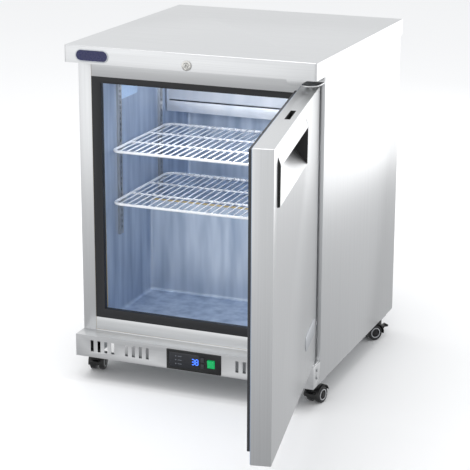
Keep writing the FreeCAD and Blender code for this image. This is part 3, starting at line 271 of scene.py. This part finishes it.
# ---------------------------------------------------------------- modelling helpers
def choose(piece):
    """Select one piece alone and make it active."""
    bpy.ops.object.select_all(action="DESELECT")
    piece.select_set(True)
    bpy.context.view_layer.objects.active = piece


def block(name, low, high):
    """A box between two corners, ready to be shaped."""
    bpy.ops.object.select_all(action="DESELECT")
    low, high = Vector(low), Vector(high)
    bpy.ops.mesh.primitive_cube_add(size=1, location=(low + high) / 2, scale=high - low)
    bpy.ops.object.transform_apply(location=True, rotation=True, scale=True)
    piece = bpy.context.object
    piece.name = name
    return piece


def drum(name, radius, depth, place, across, sides=48):
    """A round bar about a point, turned from Z to lie along a direction."""
    bpy.ops.object.select_all(action="DESELECT")
    turned = Vector(across).to_track_quat("Z", "Y").to_euler()
    bpy.ops.mesh.primitive_cylinder_add(vertices=sides, radius=radius, depth=depth,
                                        location=place, rotation=turned)
    bpy.ops.object.transform_apply(location=True, rotation=True, scale=True)
    piece = bpy.context.object
    piece.name = name
    return piece


def pick_faces(piece, wanted):
    """Enter edit mode with only the wanted faces selected."""
    choose(piece)
    bpy.ops.object.mode_set(mode="EDIT")
    bpy.ops.mesh.select_mode(type="FACE")
    bpy.ops.mesh.select_all(action="DESELECT")
    bpy.ops.object.mode_set(mode="OBJECT")
    for face in piece.data.polygons:
        face.select = wanted(face)
    bpy.ops.object.mode_set(mode="EDIT")


def pick_edges(piece, wanted):
    """Enter edit mode with only the wanted edges selected."""
    choose(piece)
    bpy.ops.object.mode_set(mode="EDIT")
    bpy.ops.mesh.select_mode(type="EDGE")
    bpy.ops.mesh.select_all(action="DESELECT")
    bpy.ops.object.mode_set(mode="OBJECT")
    points = piece.data.vertices
    for edge in piece.data.edges:
        edge.select = wanted(*[points[i].co for i in edge.vertices])
    bpy.ops.object.mode_set(mode="EDIT")


def leave():
    """Go back to object mode."""
    bpy.ops.object.mode_set(mode="OBJECT")


def facing(x=0, y=0, z=0):
    """A test for faces whose normal points one way."""
    way = Vector((x, y, z))
    return lambda face: face.normal.dot(way) > 0.99


def apply(piece, kind, **settings):
    """Add a modifier, set it and apply it."""
    choose(piece)
    modifier = piece.modifiers.new(kind.lower(), kind)
    for key, value in settings.items():
        setattr(modifier, key, value)
    bpy.ops.object.modifier_apply(modifier=modifier.name)


def rounded(piece, width, segments=2):
    """Round the sharp edges of a piece."""
    apply(piece, "BEVEL", width=width, segments=segments, limit_method="ANGLE",
          angle_limit=math.radians(30))


def cut_away(piece, *tools):
    """Subtract other pieces and drop them."""
    for tool in tools:
        apply(piece, "BOOLEAN", operation="DIFFERENCE", object=tool, solver="EXACT")
        bpy.data.objects.remove(tool)


def join(name, *pieces):
    """Make several separate shells one piece."""
    bpy.ops.object.select_all(action="DESELECT")
    for piece in pieces:
        piece.select_set(True)
    bpy.context.view_layer.objects.active = pieces[0]
    bpy.ops.object.join()
    pieces[0].name = name
    return pieces[0]


def settle(piece, body, slot, *materials, instead_of=()):
    """Smooth a finished piece, paint it, and tie it to its body; its slot is not used."""
    choose(piece)
    bpy.ops.object.shade_smooth_by_angle(angle=math.radians(32))
    if materials:
        paint(piece, *materials)
    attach(piece, body)
    if instead_of:
        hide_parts(*instead_of)
    return piece


def soft_copy(node, width, segments=2):
    """A copy of a CAD node with its flat faces whole and its edges rounded."""
    piece = nodes[node].copy()
    piece.data = piece.data.copy()
    piece.name = node + "_soft"
    piece.parent = None
    for key in list(piece.keys()):
        del piece[key]
    bpy.context.scene.collection.objects.link(piece)
    choose(piece)
    if piece.data.has_custom_normals:
        bpy.ops.mesh.customdata_custom_splitnormals_clear()
    bpy.ops.object.mode_set(mode="EDIT")
    bpy.ops.mesh.select_all(action="SELECT")
    bpy.ops.mesh.remove_doubles(threshold=0.01 * MM)
    bpy.ops.mesh.dissolve_limited(angle_limit=math.radians(0.5))
    leave()
    rounded(piece, width, segments)
    return piece


# ---------------------------------------------------------------- pieces with softened edges
SOFTENED = {
    0.3: ("front_rails", "front_grille", "side_panel_left", "side_panel_right", "evaporator_cover",
          "back_panel", "rear_grille", "display_window", "shelf_uprights"),
    0.5: ("castor_plates", "lock_plug", "screws", "base_pan", "machine_tray", "door_badge",
          "hinge_bushes", "handle_shell", "evaporator_fan", "condenser_fan"),
    0.8: ("breaker_frame", "controller_bezel", "key_up", "key_down", "lock_barrel", "lock_cam",
          "top_hinge", "bottom_hinge", "shelf_clips", "cable_gland", "base_rails", "handle_end_caps",
          "evaporator_fan_motor", "condenser_fan_motor"),
    1.0: tuple("castor_%s_%s" % (part, corner) for part in ("hood", "brake", "wheels")
               for corner in ("front_left", "front_right", "rear_left", "rear_right")),
    1.2: ("rocker_switch",),
    2.5: ("compressor",),
}


def build_softened():
    """Folded, moulded and turned pieces whose only change is their edges."""
    for width, names in SOFTENED.items():
        for node in names:
            settle(soft_copy(node, width * MM), nodes[node]["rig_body"], SLOTS[node],
                   finish_of(node), instead_of=(node,))


# ---------------------------------------------------------------- worktop and plates
def build_worktop():
    """Folded lid: bent edges, round corners, and a hem turned back under its front."""
    low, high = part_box("worktop")
    sheet, bend, corner, hem = 1 * MM, 1.8 * MM, 5 * MM, 12 * MM
    lid = block("worktop_lid", low, high)
    pick_edges(lid, lambda a, b: abs(a.z - b.z) > 1 * MM)
    bpy.ops.mesh.bevel(offset=corner, segments=4)
    leave()
    pick_edges(lid, lambda a, b: min(a.z, b.z) > high.z - 0.1 * MM)
    bpy.ops.mesh.bevel(offset=bend, segments=3)
    leave()
    pick_faces(lid, facing(z=-1))
    bpy.ops.mesh.inset(thickness=sheet)
    bpy.ops.mesh.extrude_region_move(TRANSFORM_OT_translate={"value": (0, 0, high.z - low.z - sheet)})
    leave()
    strip = block("front_hem", (low.x + corner + sheet, low.y + sheet / 2, low.z),
                  (high.x - corner - sheet, low.y + hem, low.z + sheet))
    rounded(strip, 0.3 * MM)
    settle(join("worktop_lid", lid, strip), "cabinet", "stainless", finishes["stainless_level"],
           instead_of=("worktop",))


def build_name_plate():
    """Blank oval plate: a bright raised border round a lacquered field."""
    plate = soft_copy("name_plate", 0.25 * MM)
    paint(plate, finishes["badge"], finishes["plate"])
    front = min(v.co.y for v in plate.data.vertices)
    pick_faces(plate, lambda face: face.normal.y < -0.99 and face.area > 200 * MM * MM
               and face.center.y < front + 0.1 * MM)
    bpy.ops.mesh.inset(thickness=1.9 * MM, depth=0)
    bpy.ops.mesh.inset(thickness=0.3 * MM, depth=-0.4 * MM)
    plate.active_material_index = 1
    bpy.ops.object.material_slot_assign()
    leave()
    settle(plate, nodes["name_plate"]["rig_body"], "plate", instead_of=("name_plate",))


# ---------------------------------------------------------------- cavity
def build_cavity():
    """Bright skin of the stepped cavity with coved corners and a low dam at its mouth."""
    low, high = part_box("liner")
    sheet, cove, skin_thick, dam_rise = 1 * MM, 9 * MM, 0.8 * MM, 22.5 * MM
    inner_low = low + Vector((sheet, 0, sheet))
    inner_high = high - Vector((sheet, sheet, sheet))
    step_top, step_front = -438 * MM, 5 * MM    # the step over the machine bay
    dam_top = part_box("breaker_frame")[0].z + dam_rise
    skin = block("cavity_skin", (inner_low.x, inner_low.y, step_top), inner_high)
    pick_faces(skin, lambda face: True)
    bpy.ops.mesh.bisect(plane_co=(0, step_front, 0), plane_no=(0, 1, 0))
    leave()
    pick_faces(skin, lambda face: face.normal.z < -0.99 and face.center.y < step_front)
    bpy.ops.mesh.extrude_region_move(
        TRANSFORM_OT_translate={"value": (0, 0, inner_low.z - step_top)})
    leave()
    pick_faces(skin, lambda face: True)
    bpy.ops.mesh.bisect(plane_co=(0, 0, dam_top), plane_no=(0, 0, 1))
    leave()
    mouth = inner_low.y + 0.1 * MM
    pick_faces(skin, lambda face: face.normal.y < -0.9 and face.center.y < mouth
               and face.center.z > dam_top)
    bpy.ops.mesh.delete(type="FACE")
    bpy.ops.mesh.select_all(action="SELECT")
    bpy.ops.mesh.dissolve_limited(angle_limit=math.radians(1))
    leave()
    rounded(skin, cove, 4)
    choose(skin)
    bpy.ops.object.mode_set(mode="EDIT")
    bpy.ops.mesh.select_all(action="SELECT")
    bpy.ops.mesh.flip_normals()
    leave()
    apply(skin, "SOLIDIFY", thickness=skin_thick, offset=-1.0)
    settle(skin, "cabinet", "liner_metal", finishes["liner_metal"], instead_of=("liner",))


def build_label():
    """Blank film label on the cavity's left wall."""
    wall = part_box("liner")[0].x + 1 * MM
    film = block("wall_label", (wall + 0.2 * MM, -169 * MM, -157 * MM),
                 (wall + 0.5 * MM, -59 * MM, -121 * MM))
    pick_edges(film, lambda a, b: abs(a.x - b.x) > 0.1 * MM)
    bpy.ops.mesh.bevel(offset=3 * MM, segments=4)
    leave()
    settle(film, "cabinet", "plate", finishes["label"])


# ---------------------------------------------------------------- door
hinge = next(j for j in frame["joints"] if j["name"] == "door_hinge")
PIVOT = Vector(hinge["pos_m"])
DOOR_ANGLE = -math.radians(hinge["range_deg"][0])
DOOR_HALF, DOOR_FACE, DOOR_BACK = 302 * MM, -315 * MM, -272 * MM
DOOR_LOW, DOOR_TOP = -701 * MM, -61 * MM
SLOT_HALF, SLOT_REACH, SLOT_DEEP = 42 * MM, 6 * MM, 16 * MM


def opened(piece):
    """Carry a piece of the door from closed to its open angle."""
    choose(piece)
    spot = Matrix.Translation(PIVOT)
    piece.matrix_world = spot @ Matrix.Rotation(DOOR_ANGLE, 4, "Z") @ spot.inverted()
    bpy.ops.object.transform_apply(location=True, rotation=True, scale=True)
    return piece


def build_door_panel():
    """Outer pan of the door with bent edges, the pull's opening, the lock slot and bush holes."""
    bend, back = 1.6 * MM, 1 * MM
    pull_left, pull_right, pull_low, pull_top = -257 * MM, 97 * MM, -186 * MM, -88 * MM
    pull_deep, bush_radius, bush_long, spare = 26 * MM, 6.6 * MM, 44 * MM, 10 * MM
    panel = block("door_panel", (-DOOR_HALF, DOOR_FACE, DOOR_LOW),
                  (DOOR_HALF, DOOR_BACK - back, DOOR_TOP))
    rounded(panel, bend, 3)
    pull = block("pull_opening", (pull_left, DOOR_FACE - spare, pull_low),
                 (pull_right, DOOR_FACE + pull_deep, pull_top))
    slot = block("lock_slot", (-SLOT_HALF, PIVOT.y - SLOT_REACH, DOOR_TOP - SLOT_DEEP),
                 (SLOT_HALF, PIVOT.y + SLOT_REACH, DOOR_TOP + spare))
    bushes = [drum("bush_hole", bush_radius, bush_long, (PIVOT.x, PIVOT.y, z), (0, 0, 1))
              for z in (DOOR_LOW, DOOR_TOP)]
    cut_away(panel, pull, slot, *bushes)
    settle(opened(panel), "door", "stainless", finishes["stainless"],
           instead_of=("door_skin", "door_foam"))


def build_strike_cup():
    """Black moulded cup that lines the slot for the lock's cam."""
    wall, proud, floor = 1.2 * MM, 0.2 * MM, 1.7 * MM
    cup = block("strike_cup", (-SLOT_HALF, PIVOT.y - SLOT_REACH, DOOR_TOP - SLOT_DEEP),
                (SLOT_HALF, PIVOT.y + SLOT_REACH, DOOR_TOP + proud))
    pick_faces(cup, facing(z=1))
    bpy.ops.mesh.inset(thickness=wall)
    bpy.ops.mesh.extrude_region_move(TRANSFORM_OT_translate={"value": (0, 0, floor - SLOT_DEEP - proud)})
    leave()
    rounded(cup, 0.3 * MM)
    settle(opened(cup), "door", "end_cap", finishes["end_cap"])


def build_seal():
    """Magnetic door seal: a ring with a bellows fold and a flat magnet face."""
    low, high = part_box("door_gasket")
    half, wide, thick = 281 * MM, 28 * MM, 9.6 * MM
    ring = block("door_seal", (-half, DOOR_BACK, low.z), (half, DOOR_BACK + thick, high.z))
    # each fold's width and rise in millimetres, from the outer edge inwards
    folds = ((1.5, 0), (1.5, -3.0), (3.0, 0), (1.5, 3.0), (12.5, 0), (1.5, -2.5), (3.0, 0))
    pick_faces(ring, facing(y=1))
    for thickness, depth in folds:
        bpy.ops.mesh.inset(thickness=thickness * MM, depth=depth * MM)
    rest = wide - sum(thickness for thickness, depth in folds) * MM
    bpy.ops.mesh.inset(thickness=rest, depth=-1.5 * MM)
    bpy.ops.mesh.delete(type="FACE")
    leave()
    pick_faces(ring, facing(y=-1))
    bpy.ops.mesh.inset(thickness=wide)
    bpy.ops.mesh.delete(type="FACE")
    leave()
    choose(ring)
    bpy.ops.object.mode_set(mode="EDIT")
    bpy.ops.mesh.select_mode(type="EDGE")
    bpy.ops.mesh.select_all(action="DESELECT")
    bpy.ops.mesh.select_non_manifold()
    bpy.ops.mesh.bridge_edge_loops()
    bpy.ops.mesh.select_all(action="SELECT")
    bpy.ops.mesh.normals_make_consistent(inside=False)
    leave()
    rounded(ring, 0.5 * MM)
    settle(opened(ring), "door", "gasket", finishes["gasket"], instead_of=("door_gasket",))


# ---------------------------------------------------------------- controller
SEGMENTS = {"top": (0, 1, True), "middle": (0, 0, True), "bottom": (0, -1, True),
            "upper_left": (-1, 0.5, False), "upper_right": (1, 0.5, False),
            "lower_left": (-1, -0.5, False), "lower_right": (1, -0.5, False)}
DIGITS = (("top", "middle", "bottom", "upper_right", "lower_right"), tuple(SEGMENTS))


def build_digits():
    """Two lit digits of seven segments behind the display window."""
    low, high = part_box("display_window")
    wide, tall, thick, pitch, gap = 6.4 * MM, 13.5 * MM, 1.5 * MM, 9.6 * MM, 0.5 * MM
    middle_x, middle_z = 9 * MM, (low.z + high.z) / 2
    bars = []
    for place, lit in enumerate(DIGITS):
        for name in lit:
            across, up, level = SEGMENTS[name]
            x = middle_x + (place - 0.5) * pitch + across * wide / 2
            z = middle_z + up * tall / 2
            half_x = (wide / 2 - gap) if level else thick / 2
            half_z = thick / 2 if level else (tall / 4 - gap)
            bar = block("segment", (x - half_x, low.y - 0.15 * MM, z - half_z),
                        (x + half_x, low.y + 0.1 * MM, z + half_z))
            pick_edges(bar, lambda a, b: abs(a.y - b.y) > 0.1 * MM)
            bpy.ops.mesh.bevel(offset=0.6 * MM, segments=1)
            leave()
            bars.append(bar)
    settle(join("lit_digits", *bars), "cabinet", "smoked_window", finishes["lit_blue"])


def build_marks():
    """Faint round and bar marks beside the digits."""
    low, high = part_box("display_window")
    marks = []
    for i in range(3):
        z = high.z - (9 + 9.5 * i) * MM
        marks.append(drum("mark_dot", 1.6 * MM, 0.2 * MM, (-40 * MM, low.y - 0.05 * MM, z),
                          (0, 1, 0), 24))
        bar = block("mark_bar", (-35 * MM, low.y - 0.15 * MM, z - 0.8 * MM),
                    (-25 * MM, low.y + 0.05 * MM, z + 0.8 * MM))
        rounded(bar, 0.05 * MM, 1)
        marks.append(bar)
    settle(join("window_marks", *marks), "cabinet", "smoked_window", finishes["ink"])


# ---------------------------------------------------------------- castors
def build_hub_rings():
    """A pale ring on the outer face of each castor wheel."""
    for joint in frame["joints"]:
        if not joint["name"].endswith("_roll"):
            continue
        body = joint["child"]
        node = frame["record"]["behaviour"]["bodies"][body][0]
        centre, across = Vector(joint["pos_m"]), Vector(joint["axis"]).normalized()
        reach = max(abs((v.co - centre).dot(across)) for v in nodes[node].data.vertices
                    if (v.co - centre - across * (v.co - centre).dot(across)).length > 14 * MM)
        rings = []
        for side in (-1, 1):
            turned = across.to_track_quat("Z", "Y").to_euler()
            bpy.ops.object.select_all(action="DESELECT")
            bpy.ops.mesh.primitive_torus_add(
                major_radius=12.2 * MM, minor_radius=1.3 * MM, major_segments=48, minor_segments=10,
                location=centre + across * side * (reach - 0.5 * MM), rotation=turned)
            bpy.ops.object.transform_apply(location=True, rotation=True, scale=True)
            rings.append(bpy.context.object)
        settle(join(body + "_rings", *rings), body, "wheel", finishes["hub_ring"])


# ---------------------------------------------------------------- stage, light and camera
def build_stage():
    """Pale floor that the castors stand on, left out of the metal's reflections."""
    bpy.ops.mesh.primitive_plane_add(size=40, location=(0, 0, cad_box[0][2]))
    floor = bpy.context.object
    floor.name = "studio_floor"
    material, tree, shader, place = start("pale_studio_floor",
                                          {"Roughness": 0.9, "Specular IOR Level": 0.0})
    cloud = add(tree, "ShaderNodeTexNoise", {"Scale": 0.6, "Detail": 1.0}, {"Vector": place})
    tint = add(tree, "ShaderNodeMix", {"data_type": "RGBA", 6: linear("#FBFBFB"), 7: linear("#F8F8F9")},
               {0: cloud.outputs["Fac"]})
    tree.links.new(tint.outputs[2], shader.inputs["Base Color"])
    paint(floor, material)
    floor.visible_glossy = False


def area_light(name, place, target, size, power):
    """Soft box that faces a point and stays out of the camera's view."""
    lamp = bpy.data.lights.new(name, "AREA")
    lamp.shape = "RECTANGLE"
    lamp.size, lamp.size_y = size
    lamp.energy = power
    holder = bpy.data.objects.new(name, lamp)
    holder.location = place
    holder.rotation_euler = (Vector(target) - Vector(place)).to_track_quat("-Z", "Y").to_euler()
    holder.visible_camera = False
    bpy.context.scene.collection.objects.link(holder)


def build_world():
    """White studio air above, darker below, so that upright metal fades towards the floor."""
    world = bpy.data.worlds.new("studio")
    world.use_nodes = True
    tree = world.node_tree
    backdrop = tree.nodes["Background"]
    way = add(tree, "ShaderNodeTexCoord", {}).outputs["Generated"]
    height = add(tree, "ShaderNodeSeparateXYZ", {}, {"Vector": way}).outputs["Z"]
    lift = add(tree, "ShaderNodeMapRange", {"From Min": -0.7, "From Max": 0.0}, {"Value": height})
    air = add(tree, "ShaderNodeMix", {"data_type": "RGBA", 6: linear("#ACADAF"), 7: linear("#FAFBFC")},
              {0: lift.outputs["Result"]})
    tree.links.new(air.outputs[2], backdrop.inputs["Color"])
    backdrop.inputs["Strength"].default_value = 0.95
    bpy.context.scene.world = world


def build_light():
    """Overhead box, a front card, a card behind on the right for the door, and a light inside."""
    area_light("overhead_box", (-0.3, -0.6, 3.0), (0, 0, -0.3), (3.0, 2.5), 55)
    area_light("front_card", (-1.4, -3.0, -0.2), (0, 0, -0.3), (2.6, 1.4), 5)
    area_light("rear_card", (1.6, 2.6, -0.25), (0.3, 0, -0.4), (3.2, 1.6), 17)
    area_light("cavity_light", (0.05, -0.235, -0.13), (0.05, 0.1, -0.5), (0.36, 0.04), 0.9)
    bpy.context.scene.view_settings.view_transform = "Standard"


def build_camera():
    """Camera from the front right, a little above."""
    data = bpy.data.cameras.new("camera")
    data.sensor_width = 36
    data.lens = 129.04
    camera = bpy.data.objects.new("camera", data)
    camera.location = (1.471, -3.717, 0.668)
    camera.rotation_euler = (math.radians(90 - 16.39), math.radians(-0.18), math.radians(21.83))
    bpy.context.scene.collection.objects.link(camera)
    bpy.context.scene.camera = camera


for node, thing in nodes.items():
    paint(thing, finish_of(node))
build_softened()
build_worktop()
build_name_plate()
build_cavity()
build_label()
build_door_panel()
build_strike_cup()
build_seal()
build_digits()
build_marks()
build_hub_rings()
build_stage()
build_world()
build_light()
build_camera()
